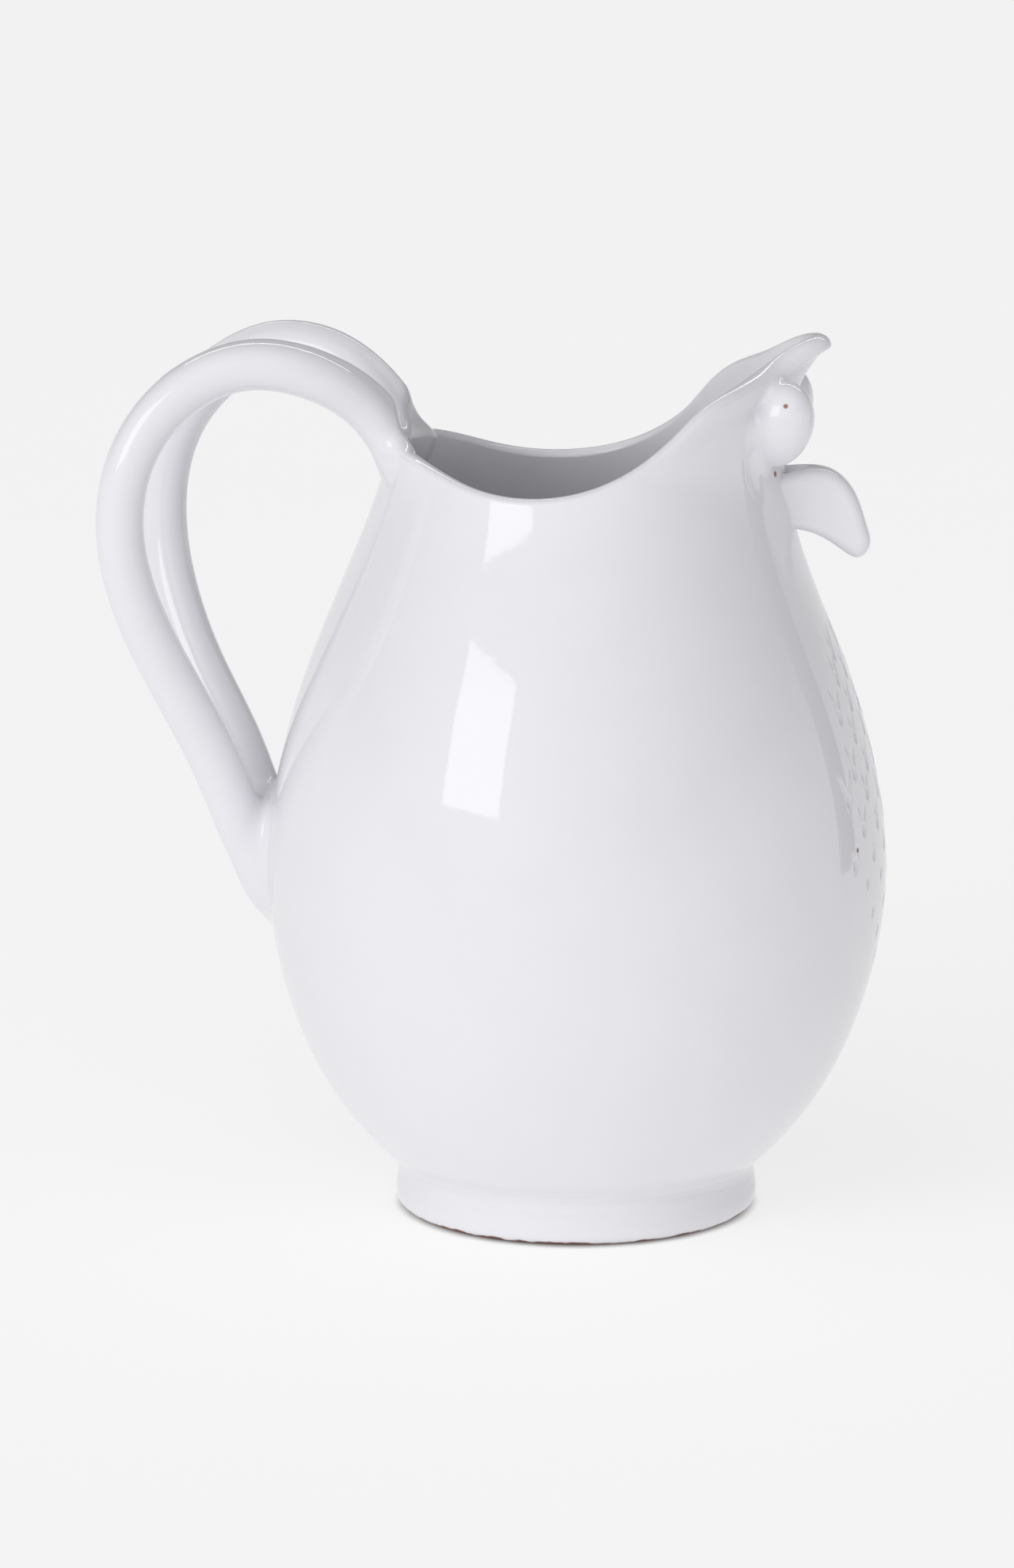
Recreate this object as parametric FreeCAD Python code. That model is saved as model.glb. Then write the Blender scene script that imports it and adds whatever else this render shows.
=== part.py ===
# A hand-built ceramic pitcher with a bird's face.
# Millimetres, +Z up, +X towards the spout, handle at -X. The origin is the
# centre of the foot's resting face, on the axis the body was thrown around.
import FreeCAD, Part
import math
import os

Vec = FreeCAD.Vector

# Body: outer radius of the thrown wall at a few heights.
BODY_BASE_Z = 9.0
BODY_PROFILE = [
    (9.0, 50.6), (16.0, 55.2), (28.0, 65.2), (47.0, 76.7), (70.0, 84.6),
    (98.0, 88.2), (125.0, 85.5), (152.0, 78.4), (180.0, 67.4), (204.0, 57.7),
    (216.0, 54.3), (232.0, 54.0), (262.0, 54.6),
]
SECTION_HEIGHTS = [
    9.0, 16.0, 28.0, 47.0, 70.0, 98.0, 125.0, 152.0, 176.0, 194.0,
    206.0, 218.0, 229.0, 239.0, 249.0, 262.0,
]
LOW_INSIDE_HEIGHTS = [16.0, 16.6, 18.0, 20.2, 23.2, 27.0, 34.0, 47.0]
POINTS_ROUND_SECTION = 48
SEAM_ANGLE = 110.0

# Front pull: how far the neck is drawn forward of round, at a few heights.
PULL_PROFILE = [
    (176.0, 0.0), (194.0, 1.2), (206.0, 3.0), (218.0, 5.2), (229.0, 8.0),
    (239.0, 11.2), (248.0, 14.6), (262.0, 13.8),
]
PULL_HALF_ANGLE = math.radians(12.5)
PULL_SHARPNESS = 1.2

# Wall and floor thickness.
WALL = 4.6
FLOOR = 7.0
LIP_THICKENING = 2.6
LIP_START_Z = 226.0
LIP_FULL_Z = 249.0
INSIDE_CORNER_RADIUS = 9.0
RIM_ROUNDING = 1.5
RIM_EDGES_ABOVE_Z = 205.0

# Rim line seen from the side: X and height of the saddle-cut top edge.
RIM_LINE = [
    (-90.0, 236.0), (-56.0, 224.0), (-42.0, 219.8), (-26.0, 213.9),
    (-8.0, 211.6), (8.0, 214.4), (22.0, 221.4), (30.0, 228.0),
    (37.0, 235.4), (46.0, 241.4), (57.0, 247.2), (66.0, 251.4),
    (74.0, 252.8), (90.0, 253.0),
]

# Underside of the thick pouring lip seen from the side.
LIP_LINE = [
    (9.0, 212.0), (22.0, 216.4), (38.0, 226.6),
    (54.0, 236.2), (70.0, 243.4), (90.0, 250.0),
]

# Foot ring: outer profile, inner radius and how far the recess tapers.
FOOT_PROFILE = [(47.6, 0.0), (50.6, 1.4), (52.2, 4.2), (51.9, 6.6), (50.6, 9.0)]
FOOT_INNER_BOTTOM = 42.0
FOOT_INNER_TOP = 40.0

# Handle: centre line of each strand, outside the body, from rim to tail.
STRAND_RADIUS = 6.9
STRAND_ROOT_BALL = 7.5
NEAR_STRAND = [
    (-48.5, -15.3, 217.5), (-55.5, -16.8, 228.9), (-72.9, -23.5, 241.5),
    (-90.2, -26.5, 244.0), (-108.9, -29.5, 235.9), (-121.5, -32.5, 219.0),
    (-125.2, -33.0, 199.0), (-120.2, -28.5, 173.0), (-110.8, -21.5, 150.5),
    (-100.2, -14.5, 126.0), (-95.0, -10.5, 110.0), (-88.8, -8.0, 96.0),
    (-80.0, -7.2, 86.0),
]
FAR_STRAND = [
    (-48.5, 15.3, 217.5), (-55.9, 16.8, 228.5), (-72.8, 23.5, 241.9),
    (-90.2, 26.5, 243.6), (-107.2, 29.5, 234.3), (-119.2, 32.5, 218.0),
    (-123.6, 33.0, 199.0), (-120.2, 28.5, 172.6), (-111.2, 21.5, 150.7),
    (-99.4, 15.0, 129.0), (-92.0, 10.5, 112.0), (-84.5, 8.0, 99.0),
    (-76.0, 7.2, 90.0),
]

# Tail: the pad of clay where both strands are pressed onto the belly.
TAIL_CENTRE = Vec(-84.5, 0.0, 103.0)
TAIL_HALF_SIZES = (14.5, 19.0, 28.0)

# Eyes: two domed pads on the sides of the front, under the lip.
EYE_CENTRE = Vec(56.0, -14.6, 227.0)
EYE_HALF_SIZES = (10.5, 9.5, 12.6)
EYE_TURN = -36.0
EYE_TILT = 12.0

# Beak: side outline of the hooked flap, and its thickness along Y.
BEAK_OUTLINE = [
    (48.0, 205.5), (50.0, 212.0), (56.5, 214.0), (65.5, 214.9), (72.0, 213.6),
    (78.0, 207.6), (81.6, 198.0), (82.3, 191.8), (79.6, 189.1), (74.6, 191.2),
    (67.3, 195.6), (59.5, 197.4), (51.5, 199.4),
]
BEAK_LAYERS = [(-6.6, 0.62), (-5.4, 0.84), (-3.2, 0.96), (0.0, 1.0),
               (3.2, 0.96), (5.4, 0.84), (6.6, 0.62)]
BEAK_MIDDLE = Vec(66.0, 0.0, 204.0)

# Breast marks: short upright nicks pressed into the wall in an oval patch,
# in staggered rows like feathers.
MARK_ROWS = 13
MARK_TOP_Z = 164.0
MARK_ROW_STEP = 8.0
MARK_PATCH_MIDDLE_Z = 121.0
MARK_PATCH_HALF_HEIGHT = 53.0
MARK_PATCH_HALF_ANGLE = 24.0
MARK_ANGLE_STEP = 6.0
MARK_WIDTH = 1.4
MARK_DEPTH = 0.9
MARK_WHEEL_RADIUS = 3.6

# Construction blocks reach this far out and up, clear of the pitcher.
BLOCK_REACH = 150.0
BLOCK_TOP = 320.0


def curve_through(points, closed=False):
    """Smooth curve through points."""
    curve = Part.BSplineCurve()
    curve.interpolate(Points=points, PeriodicFlag=closed)
    return curve


def height_table(pairs):
    """Smooth value against height, as a curve whose parameter is the height."""
    curve = Part.BSplineCurve()
    points = [Vec(value, 0.0, height) for height, value in pairs]
    heights = [height for height, value in pairs]
    curve.interpolate(Points=points, Parameters=heights)
    return curve


BODY_CURVE = height_table(BODY_PROFILE)
PULL_CURVE = height_table(PULL_PROFILE)


def outer_radius(angle, height):
    """Outer radius of the body at an angle from +X and a height."""
    radius = BODY_CURVE.value(height).x
    pull = 0.0
    if height > PULL_PROFILE[0][0]:
        pull = PULL_CURVE.value(height).x
    spread = (1.0 + (angle / PULL_HALF_ANGLE) ** 2) ** PULL_SHARPNESS
    return radius + pull / spread


def wall_thickness(angle, height):
    """Wall thickness: even, and growing towards the tip of the lip."""
    rise = (height - LIP_START_Z) / (LIP_FULL_Z - LIP_START_Z)
    rise = min(max(rise, 0.0), 1.0)
    spread = 1.0 + (angle / (2.0 * PULL_HALF_ANGLE)) ** 2
    return WALL + LIP_THICKENING * rise / spread


def corner_inset(height):
    """How far the rounded inside corner stands in from the wall, near the floor."""
    below_top = BODY_BASE_Z + FLOOR + INSIDE_CORNER_RADIUS - height
    if below_top <= 0.0:
        return 0.0
    return INSIDE_CORNER_RADIUS - math.sqrt(INSIDE_CORNER_RADIUS ** 2 - below_top ** 2)


def section(height, hollow):
    """One closed horizontal section of the body, outside or inside."""
    points = []
    for step in range(POINTS_ROUND_SECTION):
        turn = SEAM_ANGLE + 360.0 * step / POINTS_ROUND_SECTION
        angle = math.radians((turn + 180.0) % 360.0 - 180.0)
        radius = outer_radius(angle, height)
        if hollow:
            radius -= wall_thickness(angle, height) + corner_inset(height)
        points.append(Vec(radius * math.cos(angle), radius * math.sin(angle), height))
    return Part.Wire([curve_through(points, True).toShape()])


def body_outside():
    """The body as if it were solid, from its base to above the rim."""
    return Part.makeLoft([section(height, False) for height in SECTION_HEIGHTS], True)


def body_inside():
    """The space inside the body, from the floor to above the rim."""
    lowest_shared = LOW_INSIDE_HEIGHTS[-1]
    upper = [height for height in SECTION_HEIGHTS if height > lowest_shared]
    heights = LOW_INSIDE_HEIGHTS + upper
    return Part.makeLoft([section(height, True) for height in heights], True)


def above_line(line):
    """Everything above a side-view line, as a block across the whole width."""
    points = [Vec(x, -BLOCK_REACH, z) for x, z in line]
    edges = [curve_through(points).toShape()]
    corners = [
        points[-1], Vec(points[-1].x, -BLOCK_REACH, BLOCK_TOP),
        Vec(points[0].x, -BLOCK_REACH, BLOCK_TOP), points[0],
    ]
    for first, second in zip(corners, corners[1:]):
        edges.append(Part.makeLine(first, second))
    return Part.Face(Part.Wire(edges)).extrude(Vec(0.0, 2.0 * BLOCK_REACH, 0.0))


def wall_with_lip():
    """The whole wall and floor with the saddle-cut, rounded rim."""
    wall = body_outside().cut(body_inside()).cut(above_line(RIM_LINE))
    rim_edges = [edge for edge in wall.Edges if edge.BoundBox.ZMin > RIM_EDGES_ABOVE_Z]
    return wall.makeFillet(RIM_ROUNDING, rim_edges)


def mark_cutter(turn, height):
    """One small upright disc that bites into the wall and leaves a nick."""
    radius = outer_radius(math.radians(turn), height)
    middle = radius + MARK_WHEEL_RADIUS - MARK_DEPTH
    cutter = Part.makeCylinder(MARK_WHEEL_RADIUS, MARK_WIDTH)
    cutter.rotate(Vec(0.0, 0.0, 0.0), Vec(1.0, 0.0, 0.0), 90.0)
    cutter.translate(Vec(middle, 0.5 * MARK_WIDTH, height))
    cutter.rotate(Vec(0.0, 0.0, 0.0), Vec(0.0, 0.0, 1.0), turn)
    return cutter


def breast_marks():
    """The cutters of all the nicks of the feather pattern."""
    cutters = []
    for row in range(MARK_ROWS):
        height = MARK_TOP_Z - MARK_ROW_STEP * row
        offset = (height - MARK_PATCH_MIDDLE_Z) / MARK_PATCH_HALF_HEIGHT
        half_angle = MARK_PATCH_HALF_ANGLE * math.sqrt(max(0.0, 1.0 - offset ** 2))
        reach = int(half_angle / MARK_ANGLE_STEP)
        for column in range(-reach, reach + 1):
            if (column + row) % 2 == 0:
                cutters.append(mark_cutter(column * MARK_ANGLE_STEP, height))
    return cutters


def foot_ring():
    """The turned ring the pitcher stands on."""
    points = [Vec(radius, 0.0, height) for radius, height in FOOT_PROFILE]
    outside = curve_through(points).toShape()
    inner_bottom = Vec(FOOT_INNER_BOTTOM, 0.0, 0.0)
    inner_top = Vec(FOOT_INNER_TOP, 0.0, BODY_BASE_Z)
    edges = [
        outside,
        Part.makeLine(points[-1], inner_top),
        Part.makeLine(inner_top, inner_bottom),
        Part.makeLine(inner_bottom, points[0]),
    ]
    face = Part.Face(Part.Wire(edges))
    return face.revolve(Vec(0.0, 0.0, 0.0), Vec(0.0, 0.0, 1.0), 360.0)


def strand(centre_line):
    """One round coil of clay along a curved centre line."""
    points = [Vec(*point) for point in centre_line]
    curve = curve_through(points)
    path = Part.Wire([curve.toShape()])
    start = Part.Circle(points[0], curve.tangent(curve.FirstParameter)[0], STRAND_RADIUS)
    profile = Part.Wire([start.toShape()])
    sweep = Part.BRepOffsetAPI.MakePipeShell(path)
    sweep.setFrenetMode(False)
    sweep.add(profile)
    sweep.build()
    sweep.makeSolid()
    root_end = Part.makeSphere(STRAND_ROOT_BALL, points[0])
    return sweep.shape().fuse(root_end)


def ellipsoid(centre, half_sizes, turn=0.0, tilt=0.0):
    """An egg-like lump with three half sizes, tilted about Y, then turned about Z."""
    ball = Part.makeSphere(1.0)
    stretch = FreeCAD.Matrix()
    stretch.scale(*half_sizes)
    lump = ball.transformGeometry(stretch)
    lump.rotate(Vec(0.0, 0.0, 0.0), Vec(0.0, 1.0, 0.0), tilt)
    lump.rotate(Vec(0.0, 0.0, 0.0), Vec(0.0, 0.0, 1.0), turn)
    lump.translate(centre)
    return lump


def largest_solid(shape):
    """The biggest single solid of a cut shape."""
    return max(shape.Solids, key=lambda solid: solid.Volume)


def mirrored(shape):
    """The same shape on the other side of the XZ plane."""
    return shape.mirror(Vec(0.0, 0.0, 0.0), Vec(0.0, 1.0, 0.0))


def beak_block():
    """The hooked flap before it is trimmed to the throat."""
    layers = []
    for offset, scale in BEAK_LAYERS:
        points = []
        for x, z in BEAK_OUTLINE:
            points.append(Vec(
                BEAK_MIDDLE.x + scale * (x - BEAK_MIDDLE.x),
                offset,
                BEAK_MIDDLE.z + scale * (z - BEAK_MIDDLE.z),
            ))
        layers.append(Part.Wire([curve_through(points, True).toShape()]))
    return Part.makeLoft(layers, True)


def build():
    """Every sub-part by node name."""
    outside = body_outside()
    wall = wall_with_lip()
    lip_zone = above_line(LIP_LINE)
    right_strand = largest_solid(strand(NEAR_STRAND).cut(wall))
    left_strand = largest_solid(strand(FAR_STRAND).cut(wall).cut(right_strand))
    tail = ellipsoid(TAIL_CENTRE, TAIL_HALF_SIZES).cut(outside)
    near_eye = ellipsoid(EYE_CENTRE, EYE_HALF_SIZES, EYE_TURN, EYE_TILT)
    parts = {
        "vessel_body": wall.cut(lip_zone).cut(breast_marks()),
        "spout": wall.common(lip_zone),
        "foot_ring": foot_ring(),
        "right_handle_strand": right_strand,
        "left_handle_strand": left_strand,
        "handle_tail": largest_solid(tail.cut(right_strand).cut(left_strand)),
        "right_eye": near_eye.cut(outside),
        "left_eye": mirrored(near_eye).cut(outside),
        "beak": beak_block().cut(outside),
    }
    return parts


def main():
    os.makedirs("parts", exist_ok=True)
    for name, shape in build().items():
        print(name, shape.ShapeType, len(shape.Solids), shape.isValid(), round(shape.Volume))
        shape.exportStep("parts/" + name + ".step")


main()
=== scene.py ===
import math

import bmesh
import bpy
import numpy as np
import openvdb
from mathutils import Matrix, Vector


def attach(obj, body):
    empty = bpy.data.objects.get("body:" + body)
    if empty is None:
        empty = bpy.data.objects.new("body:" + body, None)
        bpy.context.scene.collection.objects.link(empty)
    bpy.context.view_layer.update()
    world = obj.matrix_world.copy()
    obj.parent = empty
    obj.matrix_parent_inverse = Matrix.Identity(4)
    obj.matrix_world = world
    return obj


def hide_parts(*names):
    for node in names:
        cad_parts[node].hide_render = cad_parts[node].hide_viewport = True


# The looks of a hand-built, tin-glazed pitcher with a bird's face.
# Shapes are worked out in millimetres in the row frame and scaled to metres as each
# mesh is made. +X is the front with the spout, the handle is at -X and +Z is up.
# "Near" pieces are on the -Y side, "far" pieces on the +Y side.
MM = 0.001

# Body: outer radius of the thrown wall at a few heights, and how far the neck is
# pulled forward of round.
BASE_Z = 9.0
HIDDEN_BASE_Z = 6.5
BODY_PROFILE = [
    (6.5, 49.8), (8.0, 50.9), (9.5, 51.3), (12.0, 51.2), (13.8, 51.6),
    (16.0, 54.1), (20.0, 58.3), (28.0, 65.2), (47.0, 76.7), (70.0, 84.6),
    (98.0, 88.2), (125.0, 85.5), (152.0, 78.4), (180.0, 67.4), (204.0, 57.7),
    (216.0, 54.3), (232.0, 54.0), (262.0, 54.6),
]
PULL_PROFILE = [
    (176.0, 0.0), (194.0, 1.2), (206.0, 3.0), (218.0, 5.0), (229.0, 6.8),
    (239.0, 9.0), (244.0, 12.0), (248.0, 14.6), (262.0, 13.8),
]
PULL_HALF_ANGLE = 12.5
PULL_SHARPNESS = 1.2
WALL = 4.6
FLOOR_Z = 16.0
CORNER_RADIUS = 9.0

# Rim: the saddle-cut top edge seen from the side, and how the far side climbs above
# the near side towards the tip.
RIM_LINE = [
    (-90.0, 236.0), (-56.0, 224.0), (-42.0, 219.8), (-26.0, 213.9),
    (-8.0, 211.6), (8.0, 214.2), (22.0, 221.0), (30.0, 227.6),
    (37.0, 234.9), (46.0, 240.9), (57.0, 246.4), (66.0, 251.2),
    (74.0, 252.8), (90.0, 253.0),
]
TILT_START_X = 28.0
TILT_REACH = 40.0
TILT_PER_MM = 0.0025
RIM_FIRST_GUESS = 220.0
RIM_ROUNDS = 12
CAP_HEIGHT = 2.2
CAP_LIP_EXTRA = 1.2

# Lip: a rolled bead along the front of the rim with a groove under it.
LIP_HALF_ANGLE = 32.0
LIP_BULGE = 2.3
LIP_GROOVE = 1.1
LIP_GROOVE_TIP = 5.8
LIP_GROOVE_SIDE = 9.2
LIP_GROOVE_AT_TIP = 0.1
LIP_GROOVE_WIDTH = 1.8
LIP_SIDE_ANGLE = 25.0
LIP_BEAD_REACH = 2.4
LIP_INNER_SWELL = 1.5
LIP_SWELL_REACH = 11.0
INNER_WANDER = 0.6
SPOUT_END_ANGLE = 78.0

# The part of the wall near the rim that holds the lip: its depth at the sides, the
# extra depth at the front and the angle over which it fades.
BLOCK_DEPTH = 3.2
BLOCK_FRONT_EXTRA = 10.0
BLOCK_FADE_ANGLE = 30.0

# Breast marks: staggered rows of feather tips pressed into the front.
MARK_ROWS = 13
MARK_TOP_Z = 164.0
MARK_ROW_STEP = 8.0
MARK_COLUMN_STEP = 4.6
MARK_MIDDLE_Z = 121.0
MARK_HALF_HEIGHT = 53.0
MARK_HALF_ANGLE = 24.0
MARK_LENGTH = 7.6
MARK_FADE_Z = 96.0
MARK_FADE_RANGE = 24.0
MARK_WIDTH = 0.75
NICK_DEPTH = 1.15
RIB_DEPTH = 0.5
PAD_HEIGHT = 0.28
PAD_SPREAD = 3.4
PATCH_HALF_ANGLE = 27.0
PATCH_LOW_Z = 60.0
PATCH_HIGH_Z = 174.0

# Foot ring: its cross-section, from the inside top round the resting face to the
# outside top.
FOOT_OUTLINE = [
    (40.2, 9.4), (40.6, 6.0), (41.4, 2.2), (42.4, 0.5), (43.6, 0.0),
    (47.0, 0.0), (49.6, 0.4), (51.2, 1.6), (51.9, 3.8), (51.85, 6.0),
    (51.55, 8.0), (51.35, 9.8), (51.15, 11.4), (50.8, 12.6), (49.5, 13.2),
]
FOOT_COLUMNS = 180
FOOT_ROWS = 64

# Handle: two coils of clay from the rim to the tail, each with a ridge that carries the
# rim's edge along its top.
COIL_RADIUS = 6.9
COIL_ROOT_SLIMMING = 0.7
COIL_END_TAPER = 1.9
COIL_REACH = 15.0
COIL_SEARCH_STEP = 2.0
COIL_SEARCH_ROUNDS = 3
NEAR_COIL = [
    (-49.5, -15.3, 219.5), (-56.0, -16.8, 229.4), (-72.9, -23.5, 241.5),
    (-90.2, -26.5, 244.0), (-108.9, -29.5, 235.9), (-121.5, -32.5, 219.0),
    (-125.2, -33.0, 199.0), (-120.2, -28.5, 173.0), (-110.8, -21.5, 150.5),
    (-100.2, -14.5, 126.0), (-95.0, -10.5, 110.0), (-88.8, -8.0, 96.0),
    (-80.0, -7.2, 86.0),
]
FAR_COIL = [
    (-49.5, 15.3, 219.5), (-56.4, 16.8, 229.0), (-72.8, 23.5, 241.9),
    (-90.2, 26.5, 243.6), (-107.2, 29.5, 234.3), (-119.2, 32.5, 218.0),
    (-123.6, 33.0, 199.0), (-120.2, 28.5, 172.6), (-111.2, 21.5, 150.7),
    (-99.4, 15.0, 129.0), (-92.0, 10.5, 112.0), (-84.5, 8.0, 99.0),
    (-76.0, 7.2, 90.0),
]
RIDGE_RADIUS = 1.8
RIDGE = [
    (-44.0, -14.0, 220.2), (-51.7, -15.6, 232.8), (-70.8, -22.2, 246.6),
    (-90.8, -25.3, 249.4), (-112.0, -28.6, 240.0),
]
TAIL_CENTRE = (-84.5, 0.0, 101.0)
TAIL_HALF_SIZES = (13.2, 17.0, 20.5)
RIDGE_BLEND = 2.4
COIL_BLEND = 2.0
TAIL_BLEND = 5.0
ROOT_BLEND = 7.0
LOW_BLEND = 4.0
LOW_BLEND_BELOW_Z = 190.0

# Face: a domed eye on each side and the hooked beak between them.
EYE_CENTRE = (57.0, -15.0, 228.2)
EYE_HALF_SIZES = (10.4, 8.5, 12.9)
FAR_EYE_SHRINK = 0.97
FAR_EYE_BACK = 1.6
FAR_EYE_UP = 1.2
EYE_TURN = -36.0
EYE_TILT = 32.0
EYE_BLEND = 2.6
EYE_BLEND_BEHIND = 3.6
EYES_BLEND = 0.8
BEAK_OUTLINE = [
    (45.0, 205.5), (49.0, 212.0), (56.5, 214.0), (65.5, 214.9), (72.0, 213.6),
    (78.0, 207.6), (81.6, 198.0), (82.3, 191.8), (79.6, 189.1), (74.6, 191.2),
    (67.3, 195.6), (59.5, 197.4), (49.5, 199.4),
]
BEAK_ROOT_X = 48.0
BEAK_TIP_X = 82.0
BEAK_ROOT_HALF = 11.0
BEAK_TIP_HALF = 4.2
BEAK_TOP_THICKENING = 1.2
BEAK_MIDDLE_Z = 205.5
BEAK_DROOP = 9.0
BEAK_DISH = 2.2
BEAK_VALLEY = 3.6
BEAK_NEAR_DROP = 0.3
BEAK_ROUNDING = 3.4
BEAK_BLEND = 0.3

# Pressed-on clay: how deep it goes into the wall, how far a piece reaches from its own
# lump and into its neighbours, how far its ends sink, and the fields' widest value.
LUMP_DEPTH = 2.6
LUMP_REACH = 7.0
LUMP_OVERLAP = 1.2
LUMP_TUCK = 0.04
BODY_OVERLAP = 0.8
SKIN_LIFT = 0.05
FIELD_WIDTH = 3.0

# Gaps in the glaze where the red clay shows: X, Y, Z and radius.
PINHOLES = [
    (59.6, -23.6, 234.2, 0.8), (56.5, -9.8, 213.6, 1.1), (58.5, -9.6, 212.6, 0.8),
    (81.0, -33.0, 111.6, 0.9), (-93.0, -9.0, 118.0, 0.8), (-92.0, -10.0, 112.0, 0.5),
]

# Materials.
GLAZE_THIN = (0.780, 0.775, 0.815, 1.0)
GLAZE_POOLED = (0.810, 0.805, 0.845, 1.0)
GLAZE_IOR = 1.52
GLAZE_ROUGHNESS = 0.05
PINHOLE_CLAY = (0.30, 0.16, 0.12, 1.0)
# Bare clay at the foot's resting edge, darkened past terracotta so that it also paints the contact shade
# where the foot meets the table.
BARE_CLAY_AND_CONTACT_SHADE = (0.16, 0.06, 0.04, 1.0)
BARE_ROUGHNESS = 0.6
BARE_HEIGHT = 0.0027
PAPER_LOW = (0.295, 0.295, 0.295, 1.0)
PAPER_HIGH = (0.305, 0.305, 0.305, 1.0)
BOARD_GREY = (0.03, 0.03, 0.03, 1.0)

# Studio, in metres and watts: the glow of the lit paper floor, the room's dimmest and
# brightest light, the band of light along the horizon, and the direction that the broad
# light comes from.
FLOOR_GLOW = 0.725
FLOOR_HALF = 14.0
ROOM_DIM = 0.20
ROOM_BRIGHT = 1.15
HORIZON_GLOW = 0.88
HORIZON_FADE = 0.42
LIGHT_FROM = (-0.26, -0.83, 0.49)
SOFTBOX_PLACE = (-1.37, -1.89, 1.04)
SOFTBOX_TARGET = (0.0, 0.0, 0.17)
SOFTBOX_SIZE = (1.02, 0.97)
SOFTBOX_POWER = 8.0
TOP_STRIP_PLACE = (0.0, 0.95, 1.6)
TOP_STRIP_TARGET = (0.0, 0.0, 0.2)
TOP_STRIP_SIZE = (2.4, 0.14)
TOP_STRIP_POWER = 7.0
BOARD_ANGLE = 28.5
BOARD_DISTANCE = 0.8
BOARD_Z = 0.22
BOARD_WIDTH = 0.16
BOARD_HEIGHT = 0.60

# Camera.
CAMERA_LENS = 122.98
CAMERA_SENSOR = 36.0
CAMERA_PLACE = (0.13073, -1.49429, 0.413)
CAMERA_DOWN = 10.9655
CAMERA_TURN = 5.762

# Mesh fineness.
FRONT_COLUMN_STEP = 0.9
BACK_COLUMN_STEP = 1.75
FRONT_ZONE = 34.0
OUTSIDE_ROWS = 98
BLOCK_ROWS = 21
CAP_ROWS = 17
BLOCK_INSIDE_ROWS = 9
INSIDE_ROWS = 66
CORNER_ROWS = 9
COIL_LATTICE = 0.5
FACE_LATTICE = 0.35

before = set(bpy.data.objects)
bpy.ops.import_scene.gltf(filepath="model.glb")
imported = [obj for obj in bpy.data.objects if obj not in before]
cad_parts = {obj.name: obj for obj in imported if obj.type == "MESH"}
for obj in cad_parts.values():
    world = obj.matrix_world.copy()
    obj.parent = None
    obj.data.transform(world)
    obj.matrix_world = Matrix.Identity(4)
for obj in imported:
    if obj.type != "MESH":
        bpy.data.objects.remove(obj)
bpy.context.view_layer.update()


# ---------------------------------------------------------------- curves

def spline(places, values):
    """Natural cubic spline through rows of values; call it with places and, for its slope
    or its bend, order 1 or 2."""
    places = np.asarray(places, float)
    values = np.asarray(values, float).reshape(len(places), -1)
    count = len(places)
    gap = np.diff(places)[:, None]
    matrix = np.eye(count)
    right = np.zeros_like(values)
    for i in range(1, count - 1):
        matrix[i, i - 1] = gap[i - 1, 0]
        matrix[i, i] = 2.0 * (gap[i - 1, 0] + gap[i, 0])
        matrix[i, i + 1] = gap[i, 0]
        after = (values[i + 1] - values[i]) / gap[i]
        before = (values[i] - values[i - 1]) / gap[i - 1]
        right[i] = 6.0 * (after - before)
    bend = np.linalg.solve(matrix, right)

    def at(place, order=0):
        place = np.clip(np.asarray(place, float), places[0], places[-1])
        i = np.clip(np.searchsorted(places, place) - 1, 0, count - 2)
        step = gap[i]
        a = (places[i + 1] - place)[..., None] / step
        b = 1.0 - a
        if order == 0:
            cubic = ((a ** 3 - a) * bend[i] + (b ** 3 - b) * bend[i + 1]) * step ** 2 / 6.0
            return a * values[i] + b * values[i + 1] + cubic
        if order == 1:
            cubic = ((3.0 * b ** 2 - 1.0) * bend[i + 1] - (3.0 * a ** 2 - 1.0) * bend[i]) * step / 6.0
            return (values[i + 1] - values[i]) / step + cubic
        return a * bend[i] + b * bend[i + 1]

    return at


def table(pairs):
    """Smooth single value against place."""
    curve = spline([place for place, value in pairs], [value for place, value in pairs])
    return lambda place: curve(place)[..., 0]


def lengths_along(points):
    """Distance along a run of points, one number per point."""
    steps = np.linalg.norm(np.diff(np.asarray(points, float), axis=0), axis=1)
    return np.concatenate([[0.0], np.cumsum(steps)])


def smooth_step(value):
    """0 up to 0, 1 from 1 on, and a smooth ramp between."""
    value = np.clip(value, 0.0, 1.0)
    return value * value * (3.0 - 2.0 * value)


# ---------------------------------------------------------------- body surface

body_curve = table(BODY_PROFILE)
pull_curve = table(PULL_PROFILE)
rim_curve = table(RIM_LINE)


def plain_radius(angle, height):
    """Outer radius of the thrown wall; angle in degrees from +X."""
    pull = np.where(height > PULL_PROFILE[0][0], pull_curve(height), 0.0)
    spread = (1.0 + (angle / PULL_HALF_ANGLE) ** 2) ** PULL_SHARPNESS
    return body_curve(height) + pull / spread


def solve_rim(angle):
    """Height of the rim's top at an angle, where the wall meets the rim line."""
    turn = np.radians(angle)
    height = np.full(np.shape(angle), RIM_FIRST_GUESS)
    for _ in range(RIM_ROUNDS):
        middle = plain_radius(angle, height) - 0.5 * WALL
        x = middle * np.cos(turn)
        tilt = TILT_PER_MM * np.clip(x - TILT_START_X, 0.0, TILT_REACH)
        height = 0.5 * height + 0.5 * (rim_curve(x) + tilt * middle * np.sin(turn))
    return height


RIM_ANGLES = np.linspace(-180.0, 180.0, 721)
RIM_HEIGHTS = solve_rim(RIM_ANGLES)


def rim_height(angle):
    """Height of the rim's top, looked up in the solved rim."""
    return np.interp(angle, RIM_ANGLES, RIM_HEIGHTS)


def lip_weight(angle):
    """1 at the tip of the lip, fading to 0 round the sides; the angle is in degrees."""
    return np.exp(-(angle / LIP_HALF_ANGLE) ** 2)


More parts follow.
